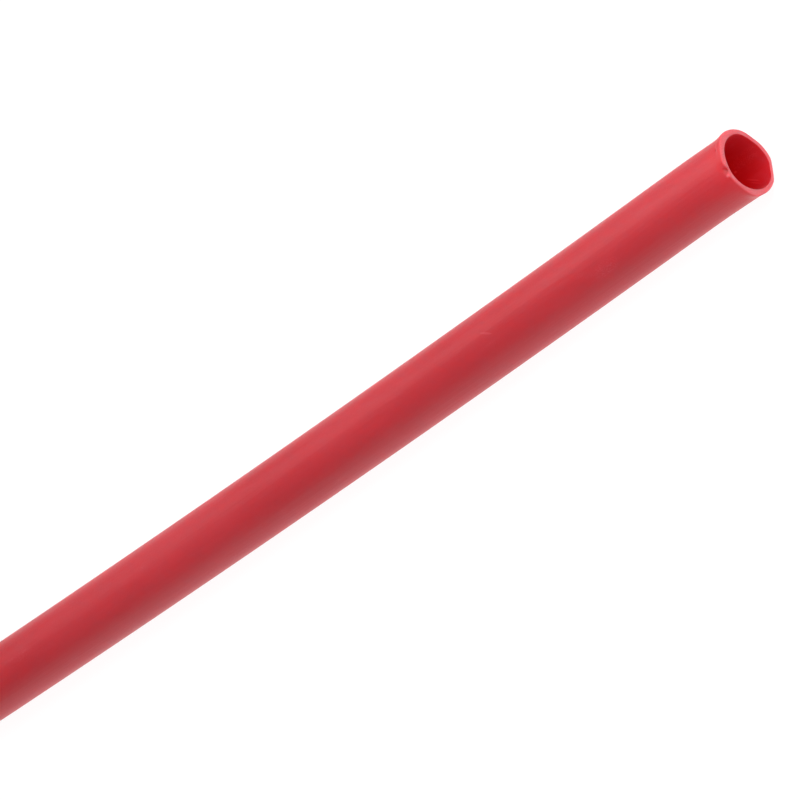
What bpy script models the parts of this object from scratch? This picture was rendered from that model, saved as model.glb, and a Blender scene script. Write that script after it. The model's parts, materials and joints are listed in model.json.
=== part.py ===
"""A cut length of red heat shrink tube, lying on its side with a faint curl left from the reel.

One extruded piece with an open bore. Units are metres, +Z is up, the tube runs along X, and the
origin is at the bottom centre of its box. The middle of the tube bows towards -Y.
"""

import math

import bpy

# Driving dimensions: the length is measured along the centre line, the bore is the mean inside
# diameter as supplied, and the squash is what the round section has lost in height and gained in width
LENGTH = 0.1524
BORE = 0.0065
WALL = 0.00055
SQUASH = 0.0002
BEND_RADIUS = 3.4

# Fineness of the faceted solid
SIDES = 32
LENGTHWISE_STEPS = 12

# Finish of the tube
RED = (0.60, 0.032, 0.047, 1.0)
ROUGHNESS = 0.48
SHARP_EDGE_ANGLE = math.radians(30)

# Half sizes of the oval outer section
OUTER_RADIUS = BORE / 2 + WALL
HALF_WIDTH = OUTER_RADIUS + SQUASH / 2
HALF_HEIGHT = OUTER_RADIUS - SQUASH / 2

# The centre line is an arc in the level plane, with half of its turn on each side of the middle
HALF_TURN = LENGTH / 2 / BEND_RADIUS


def clear_scene():
    for thing in list(bpy.context.scene.objects):
        bpy.data.objects.remove(thing, do_unlink=True)


def new_collection(name):
    collection = bpy.data.collections.new(name)
    bpy.context.scene.collection.children.link(collection)
    return collection


def red_polyolefin():
    material = bpy.data.materials.new("red_polyolefin")
    material.use_nodes = True
    shader = material.node_tree.nodes["Principled BSDF"]
    shader.inputs["Base Color"].default_value = RED
    shader.inputs["Roughness"].default_value = ROUGHNESS
    shader.inputs["Metallic"].default_value = 0.0
    material.diffuse_color = RED
    return material


def poly_curve(name, points, cyclic, collection):
    """Makes a curve object of straight runs through the points."""
    data = bpy.data.curves.new(name, "CURVE")
    data.dimensions = "3D"
    spline = data.splines.new("POLY")
    spline.points.add(len(points) - 1)
    for knot, point in zip(spline.points, points):
        knot.co = (*point, 1.0)
    spline.use_cyclic_u = cyclic
    curve = bpy.data.objects.new(name, data)
    collection.objects.link(curve)
    return curve


def make_section(collection):
    """Makes the oval outline of the outer skin, with one of its flats facing straight down.

    Its points run clockwise, so that the swept skin faces outwards.
    """
    points = []
    for side in range(SIDES):
        angle = -2 * math.pi * (side + 0.5) / SIDES
        points.append((HALF_WIDTH * math.cos(angle), HALF_HEIGHT * math.sin(angle), 0.0))
    section = poly_curve("outer_section", points, True, collection)
    section.hide_render = True
    section.display_type = "WIRE"
    return section


def make_centre_line(collection):
    """Makes the arc that the tube follows, with its middle at the curve's own origin."""
    points = []
    for step in range(LENGTHWISE_STEPS + 1):
        angle = HALF_TURN * (2 * step / LENGTHWISE_STEPS - 1)
        points.append((BEND_RADIUS * math.sin(angle), BEND_RADIUS * (1 - math.cos(angle)), 0.0))
    return poly_curve("centre_line", points, False, collection)


def resting_place():
    """Gives the middle of the centre line with the tube on the floor and its box centred in Y."""
    front = -HALF_WIDTH
    back = BEND_RADIUS - (BEND_RADIUS - HALF_WIDTH) * math.cos(HALF_TURN)
    lowest_flat = HALF_HEIGHT * math.cos(math.pi / SIDES)
    return (0.0, -(front + back) / 2, lowest_flat)


def make_tube(collection, guides):
    """Sweeps the outer skin along the centre line and thickens it inwards by the wall."""
    sweep = make_centre_line(guides)
    sweep.data.bevel_mode = "OBJECT"
    sweep.data.bevel_object = make_section(guides)
    sweep.data.twist_mode = "Z_UP"
    wall = sweep.modifiers.new("wall", "SOLIDIFY")
    wall.thickness = WALL
    wall.offset = -1.0
    wall.use_even_offset = True

    depsgraph = bpy.context.evaluated_depsgraph_get()
    mesh = bpy.data.meshes.new_from_object(sweep.evaluated_get(depsgraph))
    mesh.name = "heat_shrink_tube"
    mesh.shade_smooth()
    mesh.set_sharp_from_angle(angle=SHARP_EDGE_ANGLE)
    mesh.materials.clear()
    mesh.materials.append(red_polyolefin())
    bpy.data.objects.remove(sweep, do_unlink=True)

    tube = bpy.data.objects.new("heat_shrink_tube", mesh)
    tube.location = resting_place()
    collection.objects.link(tube)
    return tube


clear_scene()
make_tube(new_collection("heat_shrink_tube"), new_collection("guides"))
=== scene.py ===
import json
import math

import bpy
from mathutils import Matrix, Vector, noise


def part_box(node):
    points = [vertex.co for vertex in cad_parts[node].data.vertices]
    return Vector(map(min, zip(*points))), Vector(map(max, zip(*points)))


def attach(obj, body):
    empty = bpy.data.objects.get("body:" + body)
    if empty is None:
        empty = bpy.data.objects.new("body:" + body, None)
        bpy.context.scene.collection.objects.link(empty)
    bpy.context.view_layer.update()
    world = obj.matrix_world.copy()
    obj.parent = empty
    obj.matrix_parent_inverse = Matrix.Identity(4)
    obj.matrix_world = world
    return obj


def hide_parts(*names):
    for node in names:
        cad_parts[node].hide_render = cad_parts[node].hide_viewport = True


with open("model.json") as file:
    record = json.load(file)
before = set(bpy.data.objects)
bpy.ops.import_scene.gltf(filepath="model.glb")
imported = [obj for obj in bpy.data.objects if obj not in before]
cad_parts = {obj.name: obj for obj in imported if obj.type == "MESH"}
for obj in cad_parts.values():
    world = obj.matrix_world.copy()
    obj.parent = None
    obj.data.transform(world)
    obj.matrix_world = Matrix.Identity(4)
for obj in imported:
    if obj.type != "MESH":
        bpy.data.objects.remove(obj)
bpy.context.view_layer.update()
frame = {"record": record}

# The visible tube: the plain solid of the frame, redrawn with its cut mouth, drawing lines and finish.
# Metres, +Z up. Directions round the tube are in degrees: 0 faces -Y, 90 faces up, 270 faces the floor.

MM = 0.001
NODE = "heat_shrink_tube"

# Sizes of the tube, read from the frame
LOW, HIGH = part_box(NODE)
MOUNTS = {mount["name"]: mount for mount in frame["record"]["mounts"]}
RIM_BOTTOM = Vector(MOUNTS["cut_end_plus_x"]["pos_m"])
WALL = 2 * RIM_BOTTOM.z
HALF_HEIGHT = (HIGH.z - LOW.z) / 2
HALF_WIDTH = HIGH.y - RIM_BOTTOM.y
MEAN_RADIUS = (HALF_WIDTH + HALF_HEIGHT) / 2
MIDDLE_Y = LOW.y + HALF_WIDTH
HALF_TURN = 2 * math.atan2(RIM_BOTTOM.y - MIDDLE_Y, RIM_BOTTOM.x)
BEND_RADIUS = RIM_BOTTOM.x / math.sin(HALF_TURN)
HALF_LENGTH = BEND_RADIUS * HALF_TURN

# Fineness of the mesh. Rings on the cut face lie at shares of its width. Those along the tube are
# given by their first step from an end, its growth and the longest step. A step is only taken while
# this last gap of steps still fits, so that the one at the middle is at least half a step long.
AROUND = 224
ROUNDING_STEPS = 6
CUT_FACE_RINGS = (0.33, 0.67, 1.0)
SKIN_RINGS = (0.09 * MM, 1.04, 2.0 * MM)
BORE_RINGS = (0.12 * MM, 1.07, 4.0 * MM)
LAST_GAP = 1.5

# The cut lip, whose outer edge is worn rounder than its inner one
OUTER_ROUNDING = 0.17 * MM
INNER_ROUNDING = 0.07 * MM

# How much the cut wavers, how far along the wall that is felt, how fast it changes round the end,
# and how far apart in the noise the two ends take theirs
CUT_WAVER = 0.035 * MM
WAVER_REACH = 3 * MM
WAVER_PACE = 2.3
WAVER_APART = 4.0

# The depths in the wall between which the lip has the cut's pale colour, partly the whitened cut and
# partly painted light shining through the thin lip, and how that dies out
CUT_STARTS = 0.15 * OUTER_ROUNDING
CUT_STOPS = WALL - 0.5 * INNER_ROUNDING
PALE_BESIDE_CUT = 0.85
PALE_REACH = 1.4 * OUTER_ROUNDING

# How the mouth departs from the plain section: (direction, spread in degrees, height outwards).
# The wall as a whole keeps its departure for several millimetres, the lip's own dies out at once.
MOUTH_SHIFT = 0.17 * MM
MOUTH_REACH = 5.0 * MM
WALL_FORMS = (
    (204, 20, -0.26 * MM),
    (66, 20, -0.07 * MM),
    (285, 35, 0.08 * MM),
)
# How much the bore is wider than the skin's forms make it
BORE_FORMS = (
    (285, 35, 0.12 * MM),
    (40, 28, 0.11 * MM),
)
LIP_FLARE = 0.09 * MM
LIP_REACH = 0.8 * MM
LIP_FORMS = (
    (353, 12, 0.27 * MM),
    (22, 20, -0.16 * MM),
    (92, 9, -0.10 * MM),
    (204, 14, -0.05 * MM),
)
# The part of the lip that curls outwards over a longer distance
CURL_REACH = 1.5 * MM
CURL_FORMS = (
    (126, 16, 0.18 * MM),
)

# On the floor, a point of the wall stays this share of its depth above it. At the mouth it comes
# down softly, over the height of the press. A press under the least one counts as none.
FLOOR_SHARE = 0.75
LIP_PRESS = 0.15 * MM
LEAST_PRESS = 0.001 * MM

# The lines that the knife left on the cut, and the direction in which it went through
KNIFE_DIRECTION = 62
KNIFE_LINE_LENGTH = 1.6 * MM
KNIFE_LINE_WIDTH = 0.09 * MM
# Their noise: (scale, detail, roughness), where the scale is 1 because the sizes above give it
KNIFE_NOISE = (1.0, 1.0, 0.5)

# Small marks of the knife just behind the lip: (name, distance behind it, direction, half length,
# half width, height outwards, tone from -1 for painted shade in a dent to 1 for as pale as the cut)
MARKS = (
    ("ridge", 0.62 * MM, 103, 0.16 * MM, 0.70 * MM, 0.050 * MM, 0.25),
    ("pit", 0.78 * MM, 101, 0.08 * MM, 0.12 * MM, -0.090 * MM, -0.9),
    ("nick", 0.24 * MM, 61, 0.32 * MM, 0.42 * MM, -0.280 * MM, -0.7),
    ("tag", 0.24 * MM, 51, 0.22 * MM, 0.13 * MM, 0.220 * MM, 1.0),
)

# Single scuffs: (name, distance behind the mouth, direction, depth in the wall, half length, half
# width, turn out of the lengthwise direction in degrees, strength)
SCUFFS = (
    ("dash", 41.3 * MM, 71.6, 0.0, 1.25 * MM, 0.16 * MM, 27, 0.60),
    ("fleck", 4.84 * MM, 236.8, WALL, 0.32 * MM, 0.20 * MM, 0, 1.0),
    ("first_streak", 2.86 * MM, 270.0, WALL, 1.55 * MM, 0.13 * MM, -28, 0.6),
    ("second_streak", 2.61 * MM, 278.2, WALL, 1.25 * MM, 0.11 * MM, -28, 0.5),
)
# How far in from its edge a scuff reaches its full strength
SCUFF_EDGE = 0.6

# Colours of the tube
RED = (0.60, 0.032, 0.047, 1.0)
DEEP_RED = (0.57, 0.028, 0.042, 1.0)
PALE_RED = (0.63, 0.037, 0.053, 1.0)
# The bore's red is painted darker than the skin's: painted shade inside the tube
BORE_SHADE_RED = (0.50, 0.023, 0.039, 1.0)
# The cut's colours: the pale of the whitened cut, with painted light that shines through the thin lip
# on top
CUT_AND_PAINTED_GLOW_RED = (0.73, 0.134, 0.158, 1.0)
PALER_CUT_AND_PAINTED_GLOW_RED = (0.80, 0.155, 0.180, 1.0)
# Painted shade in the dents of the nick and the pit
DENT_SHADE_RED = (0.30, 0.016, 0.022, 1.0)
SCUFFED_RED = (0.66, 0.085, 0.105, 1.0)

# Grain of the finish: (features in a metre, stretch along the tube, detail, roughness of the noise)
MOTTLE = (160.0, 3.0, 1.0, 0.5)
DRAWING_LINES = (3200.0, 60.0, 2.0, 0.5)
SPECKS = (7000.0, 1.0, 1.0, 0.5)
RUBS = (520.0, 4.0, 2.0, 0.6)

# The values between which each grain's effect grows from none to full
NOISE_SPAN = (0.3, 0.7)
RUB_SPAN = (0.60, 0.78)
RUB_SPECK_SPAN = (0.45, 0.65)

# Strengths of the finish, and the heights of its relief
RUB_STRENGTH = 0.5
LINE_STRENGTH = 0.35
ROUGHNESS = (0.38, 0.50)
ROUGHNESS_DRIFT = 0.02
LINE_RELIEF = 0.030 * MM
SPECK_RELIEF = 0.018 * MM
KNIFE_RELIEF = 0.018 * MM
RELIEF_STRENGTH = 0.8
FINISH = {
    "Specular IOR Level": 0.34,
    "Sheen Weight": 0.12,
    "Sheen Roughness": 0.2,
    "Subsurface Weight": 1.0,
    "Subsurface Radius": (1.0, 0.08, 0.10),
    "Subsurface Scale": 2.4 * MM,
}

# The floor, which glows so that it looks nearly white
WHITE = (1.0, 1.0, 1.0, 1.0)
FLOOR_HALF = 9.0
FLOOR_FINISH = {
    "Base Color": (0.12, 0.12, 0.12, 1.0),
    "Roughness": 1.0,
    "Specular IOR Level": 0.0,
    "Emission Color": WHITE,
    "Emission Strength": 0.95,
}

# The light: softboxes (name, side, place from the mouth, power), and the room around them, which
# is white up to a low height above the horizon and dim from twice that height upwards
SOFTBOXES = (
    ("key", 0.28, (0.06, 0.04, 0.27), 0.72),
    ("sheen", 0.36, (-0.24, 0.20, 0.45), 0.88),
    ("front", 0.22, (0.28, -0.08, 0.09), 0.09),
)
HORIZON_HEIGHT = 0.05
HORIZON_LIGHT = 1.0
ROOM_LIGHT = 0.27

# The camera, and the picture of 800 x 800 pixels that it takes
PICTURE = 800
FOCAL_PIXELS = 11485
MOUTH_PIXEL = (747.15, 159.75)
CAMERA_DISTANCE = 1.231
MOUTH_TOWARDS_CAMERA = math.radians(40.92)
MOUTH_HEADING = math.radians(36.11)
TURN_ABOUT_TUBE = math.radians(50.0)
SENSOR = 36.0


def arc_frame(along):
    """Centre of the tube, its heading and its outward side, at a signed length from its middle."""
    turn = along / BEND_RADIUS
    across = MIDDLE_Y + BEND_RADIUS * (1 - math.cos(turn))
    centre = Vector((BEND_RADIUS * math.sin(turn), across, HALF_HEIGHT))
    heading = Vector((math.cos(turn), math.sin(turn), 0))
    outward = Vector((math.sin(turn), -math.cos(turn), 0))
    return centre, heading, outward


def away_from(direction, middle):
    """Degrees from the middle to the direction, by the shorter way round."""
    return (direction - middle + 180) % 360 - 180


def swell(direction, forms):
    """Sum of the smooth forms at a direction."""
    total = 0.0
    for middle, spread, height in forms:
        total += height * math.exp(-0.5 * (away_from(direction, middle) / spread) ** 2)
    return total


def fade(behind, reach):
    """1 at the end of the tube, dying out over the reach."""
    return math.exp(-((behind / reach) ** 2))


def marks_at(behind, direction):
    """Height and tone of the knife's small marks on the skin; a dark tone is painted shade in a dent.
    """
    height_there = 0.0
    tone_there = 0.0
    for _, middle, towards, half_length, half_width, height, tone in MARKS:
        sideways = math.radians(away_from(direction, towards)) * HALF_HEIGHT
        share = math.exp(-((behind - middle) / half_length) ** 2 - (sideways / half_width) ** 2)
        height_there += height * share
        tone_there += tone * share
    return height_there, tone_there


def on_the_floor(height, lowest, behind, end_sign):
    """The height of a point whose lip presses softly on the floor at the mouth."""
    soft = LIP_PRESS * fade(behind, MOUTH_REACH) if end_sign > 0 else 0.0
    if height >= lowest + soft or soft < LEAST_PRESS:
        return max(height, lowest)
    return lowest + soft * math.exp((height - lowest - soft) / soft)


def wall_place(behind, direction, depth, end_sign):
    """How far the mouth shifts a point of the wall to -Y, and how far it spreads it outwards."""
    spread = 0.0
    shift = 0.0
    if end_sign > 0:
        spread += swell(direction, WALL_FORMS) * fade(behind, MOUTH_REACH)
        shift = MOUTH_SHIFT * fade(behind, MOUTH_REACH)
        outer_share = 1 - depth / WALL
        spread += swell(direction, BORE_FORMS) * fade(behind, MOUTH_REACH) * (1 - outer_share)
        lip = (LIP_FLARE + swell(direction, LIP_FORMS)) * fade(behind, LIP_REACH)
        lip += swell(direction, CURL_FORMS) * fade(behind, CURL_REACH)
        spread += (lip + marks_at(behind, direction)[0]) * outer_share
    return shift, spread


def cut_line(direction, end_sign):
    """How far the cut end stands short of the full length."""
    angle = math.radians(direction)
    seed = (WAVER_PACE * math.cos(angle), WAVER_PACE * math.sin(angle), WAVER_APART * end_sign)
    return CUT_WAVER * (1 + noise.noise(Vector(seed))) / 2


def wall_point(along, direction, depth, end_sign):
    """A point of the wall, at a depth under its skin, in the frame."""
    angle = math.radians(direction)
    behind = HALF_LENGTH - end_sign * along
    shift, spread = wall_place(behind, direction, depth, end_sign)
    centre, _, outward = arc_frame(along)
    wide = (HALF_WIDTH - depth + spread) * math.cos(angle) + shift
    high = (HALF_HEIGHT - depth + spread) * math.sin(angle)
    point = centre + outward * wide
    point.z = on_the_floor(centre.z + high, FLOOR_SHARE * depth, behind, end_sign)
    return point


def spaced(start, stop, first, growth, longest):
    """Distances from start to stop, in steps that grow up to the longest."""
    places = [start]
    step = first
    while places[-1] + step * LAST_GAP < stop:
        places.append(places[-1] + step)
        step = min(step * growth, longest)
    return places + [stop]


def lip_rings():
    """Rings over a lip from its skin to its bore, as (distance behind the end, depth)."""
    quarter = [step / ROUNDING_STEPS * math.pi / 2 for step in range(1, ROUNDING_STEPS + 1)]
    made = []
    for angle in quarter:
        behind = OUTER_ROUNDING * (1 - math.sin(angle))
        made.append((behind, OUTER_ROUNDING * (1 - math.cos(angle))))
    face = WALL - INNER_ROUNDING - OUTER_ROUNDING
    made += [(0.0, OUTER_ROUNDING + face * share) for share in CUT_FACE_RINGS]
    for angle in reversed(quarter[:-1]):
        behind = INNER_ROUNDING * (1 - math.sin(angle))
        made.append((behind, WALL - INNER_ROUNDING * (1 - math.cos(angle))))
    return made


def rings():
    """All rings of the closed skin, in order: (distance behind the end, depth, end).

    The end is 1 for the mouth that the picture shows and -1 for the other. The rings run along the
    outer skin to the mouth, over its lip, back through the bore and over the other lip.
    """
    outer = spaced(OUTER_ROUNDING, HALF_LENGTH, *SKIN_RINGS)
    inner = spaced(INNER_ROUNDING, HALF_LENGTH, *BORE_RINGS)
    lip = lip_rings()
    made = [(behind, 0.0, -1) for behind in outer[:-1]]
    made += [(behind, 0.0, 1) for behind in reversed(outer)]
    made += [(behind, depth, 1) for behind, depth in lip]
    made += [(behind, WALL, 1) for behind in inner[:-1]]
    made += [(behind, WALL, -1) for behind in reversed(inner)]
    made += [(behind, depth, -1) for behind, depth in reversed(lip)]
    return made


def cut_share(behind, depth):
    """1 on the cut face, falling to 0 on the skin and in the bore."""
    if CUT_STARTS < depth < CUT_STOPS and behind < OUTER_ROUNDING:
        return 1.0
    reach = PALE_REACH if depth < WALL / 2 else INNER_ROUNDING
    return PALE_BESIDE_CUT * max(0.0, 1.0 - behind / reach)


def wall_points():
    """The tube's points, ring by ring, and what the finish needs to know at each of them.

    That is its place on a straight tube of the same length, how pale the cut and the painted light
    through the lip make it, how much painted shade its dents have, and how near the bore it lies.
    """
    points = []
    finish = {"straight": [], "cut": [], "dent_shade": [], "bore": []}
    for behind, depth, end_sign in rings():
        near_end = fade(behind, WAVER_REACH)
        radius = MEAN_RADIUS - depth
        for column in range(AROUND):
            direction = 360 * column / AROUND
            along = end_sign * (HALF_LENGTH - behind - cut_line(direction, end_sign) * near_end)
            points.append(wall_point(along, direction, depth, end_sign))
            angle = math.radians(direction)
            finish["straight"] += [radius * math.cos(angle), radius * math.sin(angle), along]
            marked = end_sign > 0 and depth < WALL / 2
            tone = marks_at(behind, direction)[1] if marked else 0.0
            # The cut's pale mask: the whitened cut and painted light shining through the thin lip
            finish["cut"].append(min(1.0, cut_share(behind, depth) + max(0.0, tone)))
            # Painted shade in the dents: the marks' dark tone
            finish["dent_shade"].append(min(1.0, max(0.0, -tone)))
            finish["bore"].append(depth / WALL)
    return points, finish


def ring_faces(count):
    """Faces that join each ring of points to the next, and the last to the first."""
    faces = []
    for ring in range(count):
        after = (ring + 1) % count
        for column in range(AROUND):
            beside = (column + 1) % AROUND
            faces.append((
                ring * AROUND + column,
                ring * AROUND + beside,
                after * AROUND + beside,
                after * AROUND + column,
            ))
    return faces


def store(mesh, name, kind, field, values):
    """Keeps a value for each point of the mesh, for its material to read."""
    attribute = mesh.attributes.new(name, kind, "POINT")
    attribute.data.foreach_set(field, values)


def make_tube():
    points, finish = wall_points()
    mesh = bpy.data.meshes.new("shrink_sleeve")
    mesh.from_pydata(points, [], ring_faces(len(points) // AROUND))
    mesh.shade_smooth()
    store(mesh, "straight", "FLOAT_VECTOR", "vector", finish["straight"])
    for name in ("cut", "dent_shade", "bore"):
        store(mesh, name, "FLOAT", "value", finish[name])
    mesh.update()
    tube = bpy.data.objects.new("shrink_sleeve", mesh)
    bpy.context.scene.collection.objects.link(tube)
    return tube


class Nodes:
    """Short names for making and joining shader nodes."""

    # Numbers of a Mix node's sockets for its share and its two colours, and for the mixed colour
    MIX_INPUTS = (0, 6, 7)
    MIX_RESULT = 2

    def __init__(self, material):
        self.tree = material.node_tree
        self.shader = self.tree.nodes["Principled BSDF"]

    def add(self, kind, **settings):
        node = self.tree.nodes.new(kind)
        for name, value in settings.items():
            setattr(node, name, value)
        return node

    def join(self, output, target):
        self.tree.links.new(output, target)

    def attribute(self, name):
        return self.add("ShaderNodeAttribute", attribute_name=name)

    def noise_at(self, place, scale, detail, roughness):
        made = self.add("ShaderNodeTexNoise")
        made.inputs["Scale"].default_value = scale
        made.inputs["Detail"].default_value = detail
        made.inputs["Roughness"].default_value = roughness
        self.join(place.outputs["Vector"], made.inputs["Vector"])
        return made.outputs["Fac"]

    def grain(self, vector, scale, stretch, detail, roughness):
        """Noise whose features are 1/scale metres wide and stretch times as long along the tube."""
        place = self.add("ShaderNodeMapping")
        place.inputs["Scale"].default_value = (1, 1, 1 / stretch)
        self.join(vector, place.inputs["Vector"])
        return self.noise_at(place, scale, detail, roughness)

    def knife_lines(self, vector):
        """Fine lines that the knife drew across the tube's section."""
        place = self.add("ShaderNodeMapping", vector_type="TEXTURE")
        place.inputs["Rotation"].default_value = (0, 0, math.radians(KNIFE_DIRECTION))
        place.inputs["Scale"].default_value = (KNIFE_LINE_LENGTH, KNIFE_LINE_WIDTH, KNIFE_LINE_LENGTH)
        self.join(vector, place.inputs["Vector"])
        return self.noise_at(place, *KNIFE_NOISE)

    def scuff(self, vector, behind, direction, depth, half_length, half_width, turn):
        """1 in the middle of an oval mark on the wall, falling to 0 at its edge."""
        angle = math.radians(direction)
        outwards = Vector((math.cos(angle), math.sin(angle), 0))
        middle = outwards * (MEAN_RADIUS - depth) + Vector((0, 0, HALF_LENGTH - behind))
        lengthwise = Matrix.Rotation(math.radians(turn), 3, outwards) @ Vector((0, 0, 1))
        axes = Matrix((outwards, lengthwise.cross(outwards), lengthwise)).transposed()
        place = self.add("ShaderNodeMapping", vector_type="TEXTURE")
        place.inputs["Location"].default_value = middle
        place.inputs["Rotation"].default_value = axes.to_euler()
        place.inputs["Scale"].default_value = (WALL / 2, half_width, half_length)
        self.join(vector, place.inputs["Vector"])
        made = self.add("ShaderNodeTexGradient", gradient_type="SPHERICAL")
        self.join(place.outputs["Vector"], made.inputs["Vector"])
        return made.outputs["Fac"]

    def remap(self, value, low, high, new_low, new_high, smooth=False):
        """Carries a value from one range over to another, and holds it at the ends of that."""
        node = self.add("ShaderNodeMapRange")
        if smooth:
            node.interpolation_type = "SMOOTHSTEP"
        limits = {"From Min": low, "From Max": high, "To Min": new_low, "To Max": new_high}
        for name, number in limits.items():
            node.inputs[name].default_value = number
        self.join(value, node.inputs["Value"])
        return node.outputs["Result"]

    def mix(self, share, first, second):
        """Mixes two colours, of which each is a socket or a fixed colour."""
        node = self.add("ShaderNodeMix", data_type="RGBA")
        for value, place in zip((share, first, second), self.MIX_INPUTS):
            if isinstance(value, tuple):
                node.inputs[place].default_value = value
            else:
                self.join(value, node.inputs[place])
        return node.outputs[self.MIX_RESULT]

    def maths(self, operation, first, second):
        node = self.add("ShaderNodeMath", operation=operation)
        self.join(first, node.inputs[0])
        self.join(second, node.inputs[1])
        return node.outputs[0]

    def bump(self, height, distance, normal=None):
        """Relief of a distance in metres, on top of the relief that a normal already has."""
        node = self.add("ShaderNodeBump")
        node.inputs["Distance"].default_value = distance
        node.inputs["Strength"].default_value = RELIEF_STRENGTH
        self.join(height, node.inputs["Height"])
        if normal is not None:
            self.join(normal, node.inputs["Normal"])
        return node.outputs["Normal"]


def rubbed_places(nodes, straight, specks):
    """Where the skin is rubbed: faint speckled patches, and the single scuffs."""
    patches = nodes.remap(nodes.grain(straight, *RUBS), *RUB_SPAN, 0.0, RUB_STRENGTH, True)
    rubbed = nodes.maths("MULTIPLY", patches, nodes.remap(specks, *RUB_SPECK_SPAN, 0.0, 1.0))
    for _, *form, strength in SCUFFS:
        mark = nodes.remap(nodes.scuff(straight, *form), 0.0, SCUFF_EDGE, 0.0, strength, True)
        rubbed = nodes.maths("MAXIMUM", rubbed, mark)
    return rubbed


def red_polyolefin():
    material = bpy.data.materials.new("red_polyolefin")
    material.use_nodes = True
    nodes = Nodes(material)
    straight = nodes.attribute("straight").outputs["Vector"]
    cut = nodes.attribute("cut").outputs["Fac"]

    mottle = nodes.grain(straight, *MOTTLE)
    lines = nodes.grain(straight, *DRAWING_LINES)
    specks = nodes.grain(straight, *SPECKS)
    rubbed = rubbed_places(nodes, straight, specks)
    drag = nodes.knife_lines(straight)

    tone = nodes.mix(nodes.remap(mottle, *NOISE_SPAN, 0.0, 1.0), DEEP_RED, PALE_RED)
    tone = nodes.mix(nodes.remap(lines, *NOISE_SPAN, 0.0, LINE_STRENGTH), tone, RED)
    # The cut's colour: whitened cut with painted light through the thin lip, streaked by the knife's
    # lines
    cut_and_glow_tone = nodes.mix(nodes.remap(drag, *NOISE_SPAN, 0.0, 1.0), CUT_AND_PAINTED_GLOW_RED, PALER_CUT_AND_PAINTED_GLOW_RED)
    # The bore is painted a darker red: painted shade inside the tube
    tone = nodes.mix(nodes.attribute("bore").outputs["Fac"], tone, BORE_SHADE_RED)
    tone = nodes.mix(rubbed, tone, SCUFFED_RED)
    tone = nodes.mix(cut, tone, cut_and_glow_tone)
    # Painted shade darkens the dents of the nick and the pit
    tone = nodes.mix(nodes.attribute("dent_shade").outputs["Fac"], tone, DENT_SHADE_RED)
    nodes.join(tone, nodes.shader.inputs["Base Color"])

    speckled = nodes.remap(specks, *NOISE_SPAN, *ROUGHNESS)
    drifting = nodes.remap(mottle, *NOISE_SPAN, -ROUGHNESS_DRIFT, ROUGHNESS_DRIFT)
    nodes.join(nodes.maths("ADD", speckled, drifting), nodes.shader.inputs["Roughness"])
    for name, value in FINISH.items():
        nodes.shader.inputs[name].default_value = value

    relief = nodes.bump(lines, LINE_RELIEF)
    relief = nodes.bump(specks, SPECK_RELIEF, relief)
    relief = nodes.bump(nodes.maths("MULTIPLY", drag, cut), KNIFE_RELIEF, relief)
    nodes.join(relief, nodes.shader.inputs["Normal"])
    material.diffuse_color = RED
    return material


def make_floor():
    half = FLOOR_HALF
    mesh = bpy.data.meshes.new("floor")
    corners = [(-half, -half, 0), (half, -half, 0), (half, half, 0), (-half, half, 0)]
    mesh.from_pydata(corners, [], [(0, 1, 2, 3)])
    floor = bpy.data.objects.new("floor", mesh)
    bpy.context.scene.collection.objects.link(floor)
    material = bpy.data.materials.new("pale_floor")
    material.use_nodes = True
    shader = material.node_tree.nodes["Principled BSDF"]
    for name, value in FLOOR_FINISH.items():
        shader.inputs[name].default_value = value
    mesh.materials.append(material)
    return floor


def make_room():
    """A dim room whose horizon is as pale as the floor."""
    world = bpy.data.worlds.new("studio")
    world.use_nodes = True
    tree = world.node_tree
    background = tree.nodes["Background"]
    background.inputs["Color"].default_value = WHITE
    direction = tree.nodes.new("ShaderNodeTexCoord")
    parts = tree.nodes.new("ShaderNodeSeparateXYZ")
    light = tree.nodes.new("ShaderNodeMapRange")
    light.inputs["From Min"].default_value = HORIZON_HEIGHT
    light.inputs["From Max"].default_value = 2 * HORIZON_HEIGHT
    light.inputs["To Min"].default_value = HORIZON_LIGHT
    light.inputs["To Max"].default_value = ROOM_LIGHT
    tree.links.new(direction.outputs["Generated"], parts.inputs[0])
    tree.links.new(parts.outputs["Z"], light.inputs["Value"])
    tree.links.new(light.outputs["Result"], background.inputs["Strength"])
    bpy.context.scene.world = world


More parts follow.
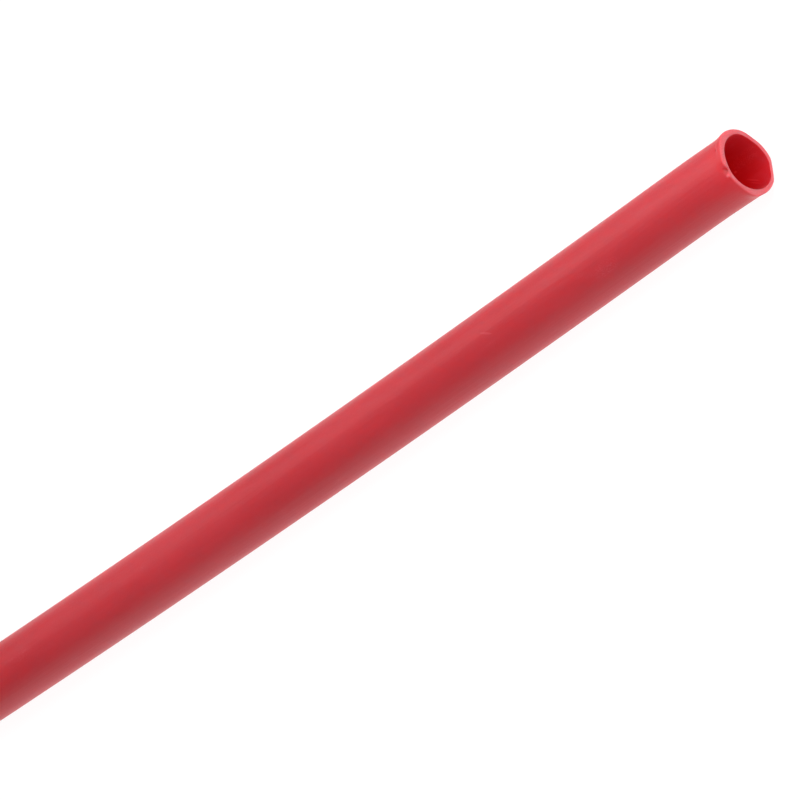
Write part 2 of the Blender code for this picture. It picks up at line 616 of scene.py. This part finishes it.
def make_softboxes():
    """Square lamps around the mouth, each turned towards it."""
    mouth, _, _ = arc_frame(HALF_LENGTH)
    for name, side, from_mouth, power in SOFTBOXES:
        lamp = bpy.data.lights.new(name, "AREA")
        lamp.shape = "SQUARE"
        lamp.size = side
        lamp.energy = power
        softbox = bpy.data.objects.new(name, lamp)
        softbox.location = mouth + Vector(from_mouth)
        softbox.rotation_mode = "QUATERNION"
        softbox.rotation_quaternion = Vector(from_mouth).to_track_quat("Z", "Y")
        bpy.context.scene.collection.objects.link(softbox)


def make_camera():
    """Places the camera from how the mouth looks in the picture."""
    mouth, heading, outward = arc_frame(HALF_LENGTH)
    up = Vector((0, 0, 1))

    # The tube's own directions as the camera sees them: right, up the picture, towards the camera
    nearer, turned = MOUTH_TOWARDS_CAMERA, MOUTH_HEADING
    along = Vector((
        math.cos(nearer) * math.cos(turned),
        math.cos(nearer) * math.sin(turned),
        math.sin(nearer),
    ))
    first = Vector((-math.sin(turned), math.cos(turned), 0))
    second = along.cross(first)
    above = math.cos(TURN_ABOUT_TUBE) * first + math.sin(TURN_ABOUT_TUBE) * second
    aside = -math.sin(TURN_ABOUT_TUBE) * first + math.cos(TURN_ABOUT_TUBE) * second
    right, top, back = [along[i] * heading + aside[i] * outward + above[i] * up for i in range(3)]

    pixel = CAMERA_DISTANCE / FOCAL_PIXELS
    place = mouth + back * CAMERA_DISTANCE
    place -= right * (MOUTH_PIXEL[0] - PICTURE / 2) * pixel
    place += top * (MOUTH_PIXEL[1] - PICTURE / 2) * pixel
    camera = bpy.data.objects.new("camera", bpy.data.cameras.new("camera"))
    camera.data.sensor_fit = "HORIZONTAL"
    camera.data.sensor_width = SENSOR
    camera.data.lens = FOCAL_PIXELS * SENSOR / PICTURE
    camera.matrix_world = Matrix((right, top, back)).transposed().to_4x4()
    camera.location = place
    bpy.context.scene.collection.objects.link(camera)
    bpy.context.scene.camera = camera


bpy.context.scene.view_settings.view_transform = "Standard"
make_camera()
make_room()
make_softboxes()
make_floor()

tube = make_tube()
tube.data.materials.append(red_polyolefin())
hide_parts(NODE)
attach(tube, "root")
